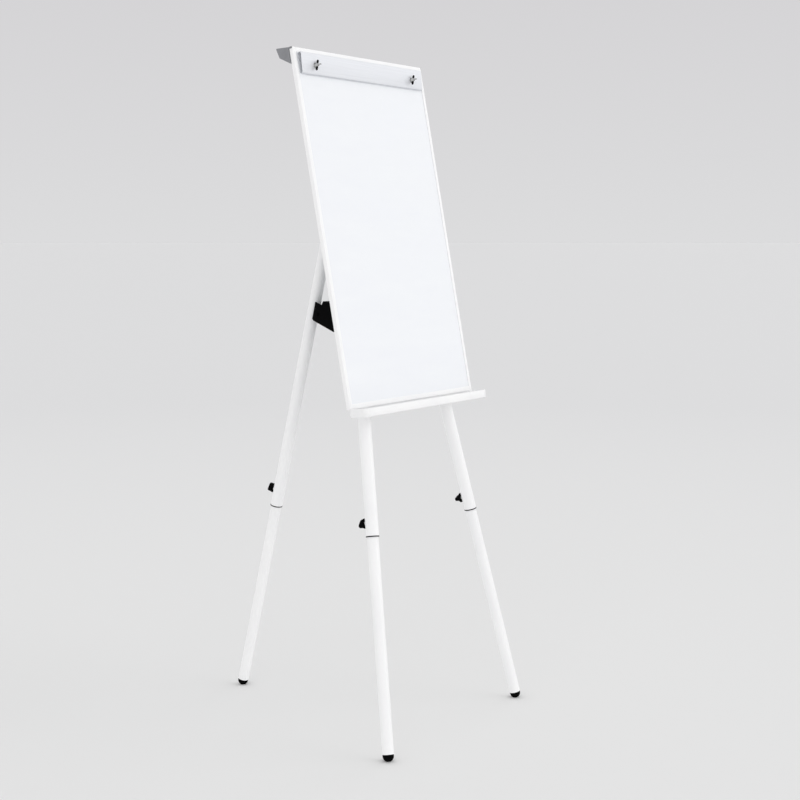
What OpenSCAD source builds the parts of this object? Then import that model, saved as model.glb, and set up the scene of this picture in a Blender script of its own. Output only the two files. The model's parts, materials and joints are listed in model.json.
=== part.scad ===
// Floor-standing flip chart easel: a magnetic whiteboard on a folding tripod.
// X runs along the board, Y to the rear and Z up; the origin is on the floor, under the middle.

/* [Board] */
// Width of the framed board
board_w = 680; // [500:1:900]
// Height of the framed board
board_h = 1050; // [800:1:1200]
// Thickness of the framed board
board_t = 13; // [11:0.5:20]
// Height of the board's lower edge above the feet, measured along the board
board_u = 990; // [900:1:1100]
// Lean of the board and front legs from upright, in degrees
tilt = 10.85; // [8:0.05:14]
// Width of the frame's face
frame_face = 15; // [12:0.5:22]
// Thickness of the frame's front and rear lips
frame_lip = 1.5; // [1.2:0.1:2]
// Thickness of the enamelled steel writing sheet
steel_t = 0.6; // [0.5:0.1:1]
// Thickness of the sheet on the back of the board
back_t = 0.5; // [0.4:0.1:1]

/* [Pen tray] */
// Depth of the tray in front of the board
tray_depth = 56; // [45:0.5:70]
// Height of the tray's front lip
tray_lip_h = 25; // [20:0.5:35]
// Drop from the board's lower edge to the underside of the tray
tray_drop = 23; // [18:0.5:26]
// Wall of the tray
tray_wall = 2; // [1.6:0.1:3]
// Rise of the tray floor towards the front, in degrees
tray_rise = 4.5; // [2:0.1:8]
// Length of each end cap of the tray
tray_cap_len = 20; // [18:0.5:30]
// Corner radius of the end caps, seen from above
tray_round = 15; // [8:0.5:18]

/* [Top rail] */
// Depth of the rail behind the board, at its top
rail_depth = 45; // [35:0.5:55]
// Height of the rail's fixing wall against the board
rail_h = 46; // [42:0.5:56]
// Height of the rail's rear wall
rail_back = 31; // [26:0.5:34]
// Lean of the rail's rear wall, in degrees
rail_lean = 15; // [8:0.5:20]
// Wall of the rail
rail_wall = 1.6; // [1.4:0.1:2.4]
// Thickness of the rail's end caps
rail_cap_t = 3; // [2:0.1:5]
// Thickness of the part of each end cap that lies outside the board's side
rail_cap_out = 2; // [1.6:0.1:3]

/* [Pad clamp] */
// Height of the clamp bar
clamp_h = 62; // [50:0.5:75]
// Length of the clamp bar
clamp_len = 636; // [500:1:645]
// Distance of the clamp bar's top from the board's top
clamp_drop = 15; // [10:0.5:20]
// Distance that the clamp bar's top stands off the frame
clamp_proud = 12; // [9:0.5:16]
// Distance of the clamp bar's outer face from the writing sheet, at its lower edge
clamp_foot = 8.5; // [6:0.5:10]
// Thickness of the clamp bar's sheet
clamp_t = 1.8; // [1.5:0.1:2.5]
// Distance of each clamp stud from the middle
stud_x = 255; // [180:1:280]
// Height of the studs above the clamp bar's lower edge
stud_rise = 26; // [22:0.5:40]
// Radius of the clamp studs
stud_r = 3; // [2.5:0.1:4]
// Length of the studs in front of the frame
stud_out = 29.5; // [29:0.5:40]

/* [Legs] */
// Diameter of the upper leg tubes
upper_d = 38; // [34:0.5:42]
// Diameter of the lower leg tubes
lower_d = 34; // [30:0.5:36]
// Wall of the leg tubes
tube_wall = 1; // [1:0.1:1.4]
// Length of a front leg from its pivot to its foot
leg_len = 1975; // [1850:1:2100]
// Length of the upper tubes below their pivots
upper_len = 1349; // [1250:1:1450]
// Length of the upper tubes above their pivots
leg_top = 22; // [18:0.5:30]
// Length of lower tube that is held inside the upper one
overlap = 200; // [170:1:260]
// Half of the distance between the front feet
foot_half = 370; // [300:1:420]
// Half of the distance between the front pivots
hub_half = 75; // [64:1:85]
// Distance of the rear foot behind the front feet
rear_reach = 830; // [700:1:950]
// Clearance between the front legs and the board's back
leg_gap = 5; // [4.5:0.1:8]
// Distance of the rear leg's pivot behind the front legs' plane
rear_n = 8; // [7:0.5:14]
// Distance of the rear leg's pivot below the front legs' pivots
rear_drop = 25; // [0:1:32]

/* [Feet and knobs] */
// Radius of the round end of each foot
foot_r = 16.5; // [14:0.1:18]
// Depth of the flat under each foot
foot_flat = 1.5; // [1:0.1:3]
// Length of black foot showing above its round end
foot_collar = 4.5; // [3:0.1:8]
// Diameter of the leg clamp knobs
knob_d = 30; // [22:0.5:34]
// Depth of the leg clamp knobs
knob_deep = 20; // [15:0.5:26]
// Radius of the leg clamp screws
screw_r = 4; // [3:0.1:5]
// Distance of the knobs above the upper tubes' lower ends
knob_up = 38; // [34:1:50]
// Extra height of the rear leg's knob
rear_knob_rise = 12; // [0:1:14]
// Height of the black ring under the upper tubes
ring_h = 3; // [2:0.1:6]
// Length of the sliding sleeve inside the upper tubes
sleeve_len = 70; // [62:1:90]

/* [Hub] */
// Thickness of the steel plate that carries the legs
hub_t = 3; // [2.5:0.1:4]
// Width of the hub plate
hub_w = 210; // [200:1:240]
// Height of the hub plate
hub_h = 90; // [84:1:96]
// Radius of the leg pivots
pivot_r = 4; // [3:0.1:5]
// Outer radius of the pivot bushes
bush_r = 7; // [6:0.1:8.5]

/* [Rear leg stay] */
// Distance of the stay below the hub, along the rear leg
stay_down = 700; // [640:1:760]
// Distance of the stay's hinge pin in front of the rear leg's middle
stay_pin_out = 30; // [29:0.5:34]
// Distance of the catch bar's middle behind the front legs' middle
catch_n = 6; // [6:0.5:14]
// Radius of the catch bar
catch_r = 5; // [4:0.1:6]
// Thickness of the stay's side cheeks
cheek_t = 3; // [2.5:0.1:4]

/* [Fits] */
// Running clearance of pins and studs in their holes
run_gap = 0.05; // [0.02:0.01:0.1]
// Running clearance of the sliding tubes
slide_gap = 0.1; // [0.05:0.01:0.1]
// Free clearance between neighbouring bodies
free_gap = 0.4; // [0.3:0.05:0.8]

/* [Hidden] */
$fn = 64;

// Tubes: their radii and the space inside them
upper_r = upper_d / 2;
upper_in = upper_r - tube_wall;
lower_r = lower_d / 2;
lower_in = lower_r - tube_wall;

// The board's own frame: n is the distance behind the front legs' plane, u the height along the board
back_n = -(upper_r + leg_gap);
front_n = back_n - board_t;
face_n = front_n + frame_lip;
sheet_n = back_n - frame_lip;
board_top = board_u + board_h;
edge_wall = 3;
foot_h = foot_r - foot_flat;

// Front legs: the height of their pivots along the board, and their splay
hub_u = sqrt(pow(leg_len, 2) - pow(foot_half - hub_half, 2));
splay = asin((foot_half - hub_half) / leg_len);

// Rear leg: its pivot above the feet, its length as on the front legs, and its angle from them
rear_u = hub_u - rear_drop;
hub_y = rear_n * cos(tilt) + rear_u * sin(tilt);
hub_z = rear_u * cos(tilt) - rear_n * sin(tilt);
rear_len = sqrt(pow(rear_reach - hub_y, 2) + pow(hub_z, 2)) + rear_drop;
rear_open = atan((rear_reach - hub_y) / hub_z) + tilt;

// The origin is midway between the front and rear feet
mid_y = rear_reach / 2;

// Hub
hub_front = sheet_n + hub_t;
hub_low = 60;
bush_half = upper_r + 0.5;
washer_r = 11;
washer_t = 1.5;
bolt_head_r = 8;
bolt_head_h = 5;
ear_x = bush_half + free_gap;
ear_t = 3.5;
ear_r = 14;

// Fixing screws
fix_r = 2.5;
fix_head = 4.5;
fix_head_h = 2.5;
fix_depth = 7;

// Pen tray: its turn from the board, and its rear wall
tray_turn = tilt - tray_rise;
tray_back = board_t * cos(tray_turn) + tray_wall;
tray_flange = 18;

// Leg guides on the lower back of the board, above the tray's rear wall
guide_h = 25;
guide_t = 2.5;
guide_foot = 20;
guide_u = board_u + tray_flange + guide_h / 2 + 2;
guide_in_x = hub_half - upper_r - 2;
guide_out_x = hub_half + (hub_u - guide_u + guide_h / 2) * tan(splay) + upper_r / cos(splay) + free_gap;
guide_n = upper_r + 1;

// Stay: cheeks beside the rear leg, and the length from hinge pin to catch bar
cheek_x = upper_r + 1.5;
stay_below = stay_down - rear_drop;
stay_reach = rear_n + stay_below * sin(rear_open) - stay_pin_out * cos(rear_open) - catch_n;
stay_len = stay_reach / cos(rear_open);
catch_u = rear_u - stay_below * cos(rear_open) - (stay_pin_out + stay_len) * sin(rear_open);
catch_plate = [90, 60];
catch_ear_x = cheek_x + cheek_t + 2.5;
catch_ear_r = catch_r + 6;
tip_r = catch_r + 5.5;
slot_turn = 128;
knuckle_x = upper_r - 2;
knuckle_h = 44;
knuckle_y = upper_r + 7;
rivet_z = 15.5;
rivet_r = 2.5;

// Pad clamp: its lean, and the seats of its wing nuts
clamp_top = board_top - clamp_drop;
clamp_base = clamp_top - clamp_h;
clamp_out_n = face_n - clamp_foot;
clamp_lean = atan((clamp_out_n - front_n + clamp_proud) / clamp_h);
stud_u = clamp_base + stud_rise;
washer_n = clamp_out_n - stud_rise * tan(clamp_lean);
clamp_washer_r = 8;
nut_n = washer_n - clamp_washer_r * tan(clamp_lean) - 1.5;
nut_len = 9;
stud_tip_len = 8;
wing_r = 3.9;
wing_t = 2.6;
stud_tip_r = stud_r - 0.5;
stud_head_r = 7;
stud_head_t = 3;

// Leg clamps
nut_out = 1.5;
knob_base = upper_r + nut_out + 1;
knob_skirt = 6;
knob_grip = 11;
knob_z = knob_up - upper_len;
rear_knob_z = knob_z + rear_knob_rise;

// Top rail: its outline behind the board, as [n, u] points, and the height of its screws
rail_top = board_top - 2;
rail_rear = [back_n + rail_depth * cos(tilt), rail_top + rail_depth * sin(tilt)];
rail_points = [[back_n, rail_top - rail_h], [back_n, rail_top], rail_rear,
    rail_rear - rail_back * [sin(rail_lean), cos(rail_lean)]];
rail_screw_u = board_top - frame_face / 2 - 2;
rail_tab_h = 5;

// Screws through the back of the board: [x, u, n of the seat under the head]
fix_points = concat(
    [for (x = [-40, 40], v = [-52, 22]) [x, hub_u + v, hub_front]],
    [for (s = [-1, 1]) [s * (hub_w / 2 - 6), hub_u + 22, hub_front]],
    [for (x = [-38, 38], v = [-22, 22]) [x, catch_u + v, hub_front]],
    [for (s = [-1, 1]) [s * (guide_in_x - guide_t - guide_foot / 2), guide_u, sheet_n + guide_t]],
    [for (s = [-1, 1]) [s * (guide_out_x + guide_t + guide_foot / 2), guide_u, sheet_n + guide_t]],
    [for (i = [-2:2]) [i * (board_w / 4 - 20), rail_screw_u, back_n + rail_wall]],
    [for (i = [-2:2]) [i * (board_w / 4 - 20), board_u + frame_face / 2 + 2, back_n + tray_wall]]);

// Moves each corner of a convex clockwise outline inwards by d
function unit(v) = v / norm(v);
function inner_normal(a, b) = unit([b[1] - a[1], a[0] - b[0]]);
function inset(p, d) = [for (i = [0:len(p) - 1])
    let (a = p[(i + len(p) - 1) % len(p)], b = p[i], c = p[(i + 1) % len(p)],
        m = inner_normal(a, b), k = inner_normal(b, c))
    b + d * (m + k) / (1 + m * k)];

// Places an item in the board's own frame
module on_board() {
    translate([0, -mid_y, foot_h]) rotate([-tilt, 0, 0]) children();
}

// Places an item in a front leg's frame: -Z runs down the leg from its pivot
module on_leg(side) {
    on_board() translate([side * hub_half, 0, hub_u]) rotate([0, -side * splay, 0]) children();
}

// Places an item in the rear leg's frame, whose origin is above its pivot by rear_drop
module on_rear() {
    on_board() translate([0, rear_n, rear_u]) rotate([rear_open, 0, 0])
        translate([0, 0, rear_drop]) children();
}

// A cylinder along X, centred
module x_rod(r, len) {
    rotate([0, 90, 0]) cylinder(r = r, h = len, center = true);
}

// A cylinder along Y from y0 to y1
module y_rod(r, y0, y1) {
    translate([0, y1, 0]) rotate([90, 0, 0]) cylinder(r = r, h = y1 - y0);
}

// A box given by its lowest and highest corners
module slab(low, high) {
    translate(low) cube(high - low);
}

// A length along X of an outline drawn in the Y-Z plane, centred
module x_extrude(len) {
    translate([-len / 2, 0, 0]) rotate([90, 0, 90]) linear_extrude(len) children();
}

// Section of the frame: the slot opens away from the outer edge, which is at the bottom
module frame_section() {
    difference() {
        square([board_t, frame_face]);
        translate([frame_lip, edge_wall]) square([board_t - 2 * frame_lip, frame_face]);
    }
}

// A mitred frame bar along X, with its outer edge down and its front at Y = 0
module frame_bar(len) {
    intersection() {
        x_extrude(len) frame_section();
        translate([0, board_t, 0]) rotate([90, 0, 0]) linear_extrude(board_t)
            polygon([[-len / 2, 0], [len / 2, 0],
                [len / 2 - frame_face, frame_face], [-len / 2 + frame_face, frame_face]]);
    }
}

// A sheet of the board between two depths, inside the frame's slots
module board_layer(n0, n1) {
    slab([-board_w / 2 + edge_wall, n0, board_u + edge_wall],
        [board_w / 2 - edge_wall, n1, board_top - edge_wall]);
}

module stud_holes() {
    for (s = [-1, 1]) translate([s * stud_x, 0, stud_u]) y_rod(stud_r, front_n - 1, back_n + 1);
}

module stud_head_holes() {
    for (s = [-1, 1]) translate([s * stud_x, 0, stud_u])
        y_rod(stud_head_r, sheet_n - stud_head_t, back_n + 1);
}

module fix_holes() {
    for (p = fix_points) translate([p[0], 0, p[1]]) y_rod(fix_r, sheet_n - fix_depth, p[2] + 1);
}

module steel_face() {
    color("white") on_board() difference() {
        board_layer(face_n, face_n + steel_t);
        stud_holes();
    }
}

module board_core() {
    color("burlywood") on_board() difference() {
        board_layer(face_n + steel_t, sheet_n - back_t);
        stud_holes();
        stud_head_holes();
        fix_holes();
    }
}

module back_sheet() {
    color("gainsboro") on_board() difference() {
        board_layer(sheet_n - back_t, sheet_n);
        stud_head_holes();
        fix_holes();
    }
}

module frame_bottom() {
    color("white") on_board() difference() {
        translate([0, front_n, board_u]) frame_bar(board_w);
        fix_holes();
    }
}

module frame_top() {
    color("white") on_board() difference() {
        translate([0, front_n, board_top]) rotate([0, 180, 0]) frame_bar(board_w);
        fix_holes();
    }
}

module frame_left() {
    color("white") on_board()
        translate([-board_w / 2, front_n, board_u + board_h / 2]) rotate([0, 90, 0]) frame_bar(board_h);
}

module frame_right() {
    color("white") on_board()
        translate([board_w / 2, front_n, board_u + board_h / 2]) rotate([0, -90, 0]) frame_bar(board_h);
}

// Places an item in the tray's frame, at the board's lower front edge
module on_tray() {
    on_board() translate([0, front_n, board_u]) rotate([tray_turn, 0, 0]) children();
}

module tray_section() {
    translate([-tray_depth, -tray_drop]) square([tray_depth + tray_back, tray_wall]);
    translate([-tray_depth, -tray_drop]) square([tray_wall, tray_lip_h]);
    translate([tray_back - tray_wall, -tray_drop]) square([tray_wall, tray_drop - tray_wall]);
    rotate(-tray_turn) translate([board_t, -3 * tray_wall]) square([tray_wall, tray_flange + 3 * tray_wall]);
}

module pen_tray() {
    color("white") difference() {
        on_tray() x_extrude(board_w - 2 * tray_cap_len) tray_section();
        on_board() fix_holes();
    }
}

// Outline of an end cap seen from above, with its free front corner rounded
module tray_plan(x0, x1, y0, y1, r) {
    translate([x0, y0]) square([x1 - x0 - r, y1 - y0]);
    translate([x0, y0 + r]) square([x1 - x0, y1 - y0 - r]);
    intersection() {
        translate([x1 - r, y0 + r]) circle(r);
        translate([x0, y0]) square([x1 - x0, y1 - y0]);
    }
}

module tray_end() {
    x0 = board_w / 2 - tray_cap_len;
    difference() {
        translate([0, 0, -tray_drop]) linear_extrude(tray_lip_h)
            tray_plan(x0, board_w / 2, -tray_depth, -free_gap, tray_round);
        translate([0, 0, tray_wall - tray_drop]) linear_extrude(tray_lip_h)
            tray_plan(x0 - 1, board_w / 2 - tray_wall, tray_wall - tray_depth, -free_gap - tray_wall,
                tray_round - tray_wall);
    }
}

module tray_ends() {
    color("whitesmoke") on_tray() {
        tray_end();
        mirror([1, 0, 0]) tray_end();
    }
}

module top_rail() {
    color("darkgray") on_board() difference() {
        x_extrude(board_w - 2 * rail_cap_t) difference() {
            polygon(rail_points);
            polygon(inset(rail_points, rail_wall));
        }
        fix_holes();
        for (i = [-2:2]) translate([i * (board_w / 4 - 20), 0, rail_screw_u])
            y_rod(fix_head + 1, back_n + rail_wall + 1, back_n + rail_depth * 2);
    }
}

// Places the screws that hold the rail's end caps
module at_cap_screws() {
    for (s = [-1, 1], p = inset(rail_points, 10)) if (p[0] > back_n + 12)
        translate([s * (board_w / 2 + rail_cap_out), p[0], p[1]]) children();
}

// Outer face of an end cap: the rail's outline, with a tab over the board's upper corner
module rail_cap_plan() {
    polygon([rail_points[0], [back_n, board_top - rail_tab_h], [front_n + 1, board_top - rail_tab_h],
        [front_n + 1, board_top], [back_n, board_top], rail_points[2], rail_points[3]]);
}

module rail_ends() {
    color("gray") on_board() difference() {
        for (s = [-1, 1]) translate([s * (board_w / 2 - rail_cap_t / 2), 0, 0]) {
            x_extrude(rail_cap_t) polygon(rail_points);
            translate([s * (rail_cap_t + rail_cap_out) / 2, 0, 0]) x_extrude(rail_cap_out) rail_cap_plan();
            translate([-s * rail_cap_t, 0, 0]) x_extrude(2 * rail_cap_t) polygon(inset(rail_points, rail_wall));
        }
        at_cap_screws() {
            x_rod(fix_r, 16);
            x_rod(fix_head, 3);
        }
    }
}

module board_screws() {
    color("silver") on_board() {
        for (p = fix_points) translate([p[0], 0, p[1]]) {
            y_rod(fix_r, sheet_n - fix_depth, p[2]);
            y_rod(fix_head, p[2], p[2] + fix_head_h);
        }
        at_cap_screws() {
            x_rod(fix_r, 16);
            x_rod(fix_head, 3);
        }
    }
}

module clamp_studs() {
    color("silver") on_board() for (s = [-1, 1]) translate([s * stud_x, 0, stud_u]) {
        y_rod(stud_head_r, sheet_n - stud_head_t, sheet_n);
        y_rod(stud_r, front_n - stud_out + stud_tip_len, sheet_n);
        y_rod(stud_tip_r, front_n - stud_out, front_n - stud_out + stud_tip_len + 1);
    }
}

module clamp_bar() {
    top_n = front_n - clamp_proud;
    color("silver") on_board() difference() {
        x_extrude(clamp_len) polygon([[clamp_out_n, clamp_base], [top_n, clamp_top],
            [front_n - free_gap, clamp_top], [front_n - free_gap, clamp_top - clamp_t],
            [top_n + clamp_t, clamp_top - clamp_t], [clamp_out_n + clamp_t, clamp_base + clamp_t],
            [face_n - free_gap, clamp_base + clamp_t], [face_n - free_gap, clamp_base]]);
        for (s = [-1, 1]) translate([s * stud_x, 0, stud_u])
            y_rod(stud_r + free_gap, top_n - 5, face_n);
    }
}

// Wedge washers that give the wing nuts a square seat on the leaning bar
module clamp_washers() {
    color("dimgray") on_board() for (s = [-1, 1]) translate([s * stud_x, 0, stud_u]) difference() {
        y_rod(clamp_washer_r, nut_n, washer_n + 5);
        y_rod(stud_r + free_gap, nut_n - 1, washer_n + 6);
        translate([0, washer_n, 0]) rotate([clamp_lean, 0, 0]) slab([-20, 0, -20], [20, 20, 20]);
    }
}

// Side outline of a wing of a wing nut: a tab with round ends that stands clear of the bar
module wing_plan(s) {
    for (v = [8.3, 13.7]) translate([-5.5, s * v]) circle(wing_r);
    translate([-5.5 - wing_r, s * 11 - 2.7]) square([2 * wing_r, 5.4]);
}

// Wing nut, turned about its stud
module wing_nut(side, turn) {
    color("black") on_board() translate([side * stud_x, nut_n, stud_u]) rotate([0, turn, 0]) difference() {
        union() {
            y_rod(6.5, -nut_len, 0);
            for (s = [-1, 1]) x_extrude(wing_t) wing_plan(s);
        }
        y_rod(stud_r + run_gap, -2 * nut_len - 10, 1);
    }
}

module wing_nut_left() { wing_nut(-1, 24); }

module wing_nut_right() { wing_nut(1, 27); }

module hub_plate() {
    color("white") on_board() difference() {
        union() {
            slab([-hub_w / 2, sheet_n, hub_u - hub_low], [hub_w / 2, hub_front, hub_u - hub_low + hub_h]);
            for (s = [-1, 1]) translate([s * (ear_x + ear_t / 2), 0, rear_u]) {
                slab([-ear_t / 2, hub_front - 1, -ear_r], [ear_t / 2, rear_n, ear_r]);
                translate([0, rear_n, 0]) x_rod(ear_r, ear_t);
            }
        }
        for (s = [-1, 1]) translate([s * hub_half, 0, hub_u]) y_rod(pivot_r, sheet_n - 1, hub_front + 1);
        translate([0, rear_n, rear_u]) x_rod(pivot_r, 4 * ear_x);
        fix_holes();
    }
}

module pivot_bolts() {
    seat = bush_half + free_gap + washer_t;
    color("silver") on_board() for (s = [-1, 1]) translate([s * hub_half, 0, hub_u]) difference() {
        union() {
            y_rod(pivot_r, sheet_n, seat);
            y_rod(bolt_head_r, seat, seat + bolt_head_h);
        }
        translate([0, seat + bolt_head_h + 1, 0]) rotate([90, 0, 0]) cylinder(r = 3, h = 4, $fn = 6);
    }
}

module pivot_washers() {
    color("silver") on_board() for (s = [-1, 1]) translate([s * hub_half, 0, hub_u]) difference() {
        union() {
            y_rod(washer_r, hub_front, -bush_half - free_gap);
            y_rod(washer_r, bush_half + free_gap, bush_half + free_gap + washer_t);
        }
        y_rod(pivot_r, hub_front - 1, bush_half + 5);
    }
}

module rear_hinge_pin() {
    color("silver") on_board() translate([0, rear_n, rear_u]) {
        x_rod(pivot_r, 2 * (ear_x + ear_t));
        for (s = [-1, 1]) translate([s * (ear_x + ear_t + 1.5), 0, 0]) x_rod(pivot_r + 3, 3);
    }
}

module leg_guides() {
    low = guide_u - guide_h / 2;
    high = guide_u + guide_h / 2;
    color("white") on_board() difference() {
        for (m = [0, 1]) mirror([m, 0, 0]) {
            slab([guide_in_x - guide_t - guide_foot, sheet_n, low], [guide_in_x, sheet_n + guide_t, high]);
            slab([guide_in_x - guide_t, sheet_n, low], [guide_in_x, guide_n + guide_t, high]);
            slab([guide_in_x - guide_t, guide_n, low], [guide_out_x + guide_t, guide_n + guide_t, high]);
            slab([guide_out_x, sheet_n, low], [guide_out_x + guide_t, guide_n + guide_t, high]);
            slab([guide_out_x, sheet_n, low], [guide_out_x + guide_t + guide_foot, sheet_n + guide_t, high]);
        }
        fix_holes();
    }
}

module stay_catch() {
    color("white") on_board() difference() {
        translate([0, 0, catch_u]) {
            slab([-catch_plate[0] / 2, sheet_n, -catch_plate[1] / 2],
                [catch_plate[0] / 2, hub_front, catch_plate[1] / 2]);
            for (s = [-1, 1]) translate([s * (catch_ear_x + ear_t / 2), 0, 0]) {
                slab([-ear_t / 2, hub_front - 1, -catch_ear_r], [ear_t / 2, catch_n, catch_ear_r]);
                translate([0, catch_n, 0]) x_rod(catch_ear_r, ear_t);
            }
        }
        translate([0, catch_n, catch_u]) x_rod(catch_r, 4 * catch_ear_x);
        fix_holes();
    }
}

module catch_bar() {
    color("silver") on_board() translate([0, catch_n, catch_u]) x_rod(catch_r, 2 * (catch_ear_x + ear_t + 2));
}

// Upper tube up to the given height, bored for its pivot bush and, at z, for its clamp screw
module upper_tube(top, z) {
    difference() {
        translate([0, 0, -upper_len]) cylinder(r = upper_r, h = upper_len + top);
        translate([0, 0, -upper_len - 1]) cylinder(r = upper_in, h = upper_len + top + 2);
        children();
        translate([0, 0, z]) y_rod(screw_r + free_gap, 0, upper_r + 1);
    }
}

// Bush that turns on a pivot, along Y
module pivot_bush() {
    difference() {
        y_rod(bush_r, -bush_half, bush_half);
        y_rod(pivot_r + run_gap, -bush_half - 1, bush_half + 1);
    }
}

module top_cap() {
    translate([0, 0, leg_top - 10]) cylinder(r = upper_in, h = 10);
    translate([0, 0, leg_top]) cylinder(r = upper_r, h = 2);
}

// Sliding sleeve in the lower end of the upper tube, with its black ring below the tube
module end_bush(z) {
    difference() {
        union() {
            translate([0, 0, -upper_len]) cylinder(r = upper_in, h = sleeve_len);
            translate([0, 0, -upper_len - ring_h]) cylinder(r = upper_r + 0.4, h = ring_h);
        }
        translate([0, 0, -upper_len - ring_h - 1])
            cylinder(r = lower_r + slide_gap, h = sleeve_len + ring_h + 2);
        translate([0, 0, z]) y_rod(screw_r + free_gap, 0, upper_r + 1);
    }
}

// Threaded boss for the clamp screw, shaped to the tube
module clamp_nut(z) {
    translate([0, 0, z]) difference() {
        y_rod(7, upper_r / 2, upper_r + nut_out);
        cylinder(r = upper_r, h = 40, center = true);
        y_rod(screw_r + run_gap, 0, upper_r + nut_out + 1);
    }
}

// Lower tube of a leg of the given length
module lower_tube(len) {
    low = foot_collar - len;
    high = overlap - upper_len;
    difference() {
        translate([0, 0, low]) cylinder(r = lower_r, h = high - low);
        translate([0, 0, low - 1]) cylinder(r = lower_in, h = high - low + 2);
    }
}

module guide_plug() {
    translate([0, 0, overlap - upper_len]) cylinder(r = upper_in - slide_gap, h = 20);
    translate([0, 0, overlap - upper_len - 25]) cylinder(r = lower_in, h = 25);
}

// Rubber foot: a round end, a collar and a plug inside the tube
module foot(len) {
    translate([0, 0, -len]) {
        sphere(r = foot_r);
        cylinder(r = foot_r, h = foot_collar);
        cylinder(r = lower_in, h = foot_collar + 25);
    }
}

// Trims a foot level with the floor
module on_floor() {
    difference() {
        children();
        slab([-2 * foot_half, -2 * rear_reach, -2 * foot_r], [2 * foot_half, 2 * rear_reach, 0]);
    }
}

// Knob with its clamp screw; turn is the angle of its grip
module clamp_knob(z, turn) {
    translate([0, 0, z]) {
        y_rod(screw_r, lower_r + free_gap, knob_base + 2);
        y_rod(knob_d / 2, knob_base, knob_base + knob_skirt);
        rotate([0, turn, 0]) intersection() {
            y_rod(knob_d / 2 - 1, knob_base + 1, knob_base + knob_deep);
            slab([-knob_grip / 2, 0, -knob_d], [knob_grip / 2, 2 * knob_base + knob_deep, knob_d]);
        }
    }
}

// Pivot holes of the front legs run along Y, and of the rear leg along X
module left_upper_tube() {
    color("white") on_leg(-1) upper_tube(leg_top, knob_z) y_rod(bush_r, -upper_d, upper_d);
}

module right_upper_tube() {
    color("white") on_leg(1) upper_tube(leg_top, knob_z) y_rod(bush_r, -upper_d, upper_d);
}

module rear_upper_tube() {
    color("white") on_rear() upper_tube(leg_top - rear_drop, rear_knob_z) {
        translate([0, 0, -rear_drop]) x_rod(bush_r, 2 * upper_d);
        for (s = [-1, 1]) translate([0, 0, s * rivet_z - stay_down]) y_rod(rivet_r, -upper_d, 0);
    }
}

module left_top_cap() { color("white") on_leg(-1) top_cap_cut() y_rod(bush_r, -upper_d, upper_d); }

module right_top_cap() { color("white") on_leg(1) top_cap_cut() y_rod(bush_r, -upper_d, upper_d); }

module rear_top_cap() {
    color("white") on_rear() translate([0, 0, -rear_drop]) top_cap_cut() x_rod(bush_r, 2 * upper_d);
}

// Top cap kept clear of the pivot bush
module top_cap_cut() {
    difference() {
        top_cap();
        children();
    }
}

module left_pivot_bush() { color("dimgray") on_leg(-1) pivot_bush(); }

module right_pivot_bush() { color("dimgray") on_leg(1) pivot_bush(); }

module rear_pivot_bush() {
    color("dimgray") on_rear() translate([0, 0, -rear_drop]) rotate([0, 0, 90]) pivot_bush();
}

module left_end_bush() { color("black") on_leg(-1) end_bush(knob_z); }

module right_end_bush() { color("black") on_leg(1) end_bush(knob_z); }

module rear_end_bush() { color("black") on_rear() end_bush(rear_knob_z); }

module left_clamp_nut() { color("white") on_leg(-1) clamp_nut(knob_z); }

module right_clamp_nut() { color("white") on_leg(1) clamp_nut(knob_z); }

module rear_clamp_nut() { color("white") on_rear() clamp_nut(rear_knob_z); }

module left_lower_tube() { color("white") on_leg(-1) lower_tube(leg_len); }

module right_lower_tube() { color("white") on_leg(1) lower_tube(leg_len); }

module rear_lower_tube() { color("white") on_rear() lower_tube(rear_len); }

module left_guide_plug() { color("black") on_leg(-1) guide_plug(); }

module right_guide_plug() { color("black") on_leg(1) guide_plug(); }

module rear_guide_plug() { color("black") on_rear() guide_plug(); }

module left_foot() { color("black") on_floor() on_leg(-1) foot(leg_len); }

module right_foot() { color("black") on_floor() on_leg(1) foot(leg_len); }

module rear_foot() { color("black") on_floor() on_rear() foot(rear_len); }

module left_knob() { color("black") on_leg(-1) clamp_knob(knob_z, 35); }

module right_knob() { color("black") on_leg(1) clamp_knob(knob_z, 75); }

module rear_knob() { color("black") on_rear() clamp_knob(rear_knob_z, 20); }

// Lug on the front of the rear leg that carries the stay's hinge pin
module stay_knuckle() {
    color("black") on_rear() translate([0, 0, -stay_down]) difference() {
        union() {
            slab([-knuckle_x, -knuckle_y, -knuckle_h / 2], [knuckle_x, -upper_r / 2, knuckle_h / 2]);
            translate([0, -stay_pin_out, 0]) x_rod(9, 2 * knuckle_x);
        }
        cylinder(r = upper_r, h = 2 * knuckle_h, center = true);
        translate([0, -stay_pin_out, 0]) x_rod(pivot_r, 3 * knuckle_x);
        for (s = [-1, 1]) translate([0, 0, s * rivet_z]) y_rod(rivet_r, -2 * upper_r, 0);
    }
}

module knuckle_rivets() {
    color("silver") on_rear() for (s = [-1, 1]) translate([0, 0, s * rivet_z - stay_down]) {
        y_rod(rivet_r, -knuckle_y, -upper_in);
        y_rod(rivet_r + 2, -knuckle_y - 1.8, -knuckle_y);
    }
}

module stay_pin() {
    color("black") on_rear() translate([0, -stay_pin_out, -stay_down]) {
        x_rod(pivot_r, 2 * (cheek_x + cheek_t + free_gap));
        for (s = [-1, 1]) translate([s * (cheek_x + cheek_t + free_gap + 1.2), 0, 0]) x_rod(pivot_r + 2.5, 2.4);
    }
}

// Side outline of the stay, as [distance in front of the rear leg, height above the hinge pin]
stay_tip = stay_pin_out + stay_len;
stay_top = [[16, 37], [42, 33], [45, 46], [72, 49], [92, 15], [stay_tip, tip_r]];
stay_under = [[stay_tip, -tip_r], [132, -16], [107, -37], [20, -22]];

module stay_outline() {
    mirror([1, 0]) polygon(concat(stay_top, stay_under));
    translate([-stay_tip, 0]) circle(tip_r);
}

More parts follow.
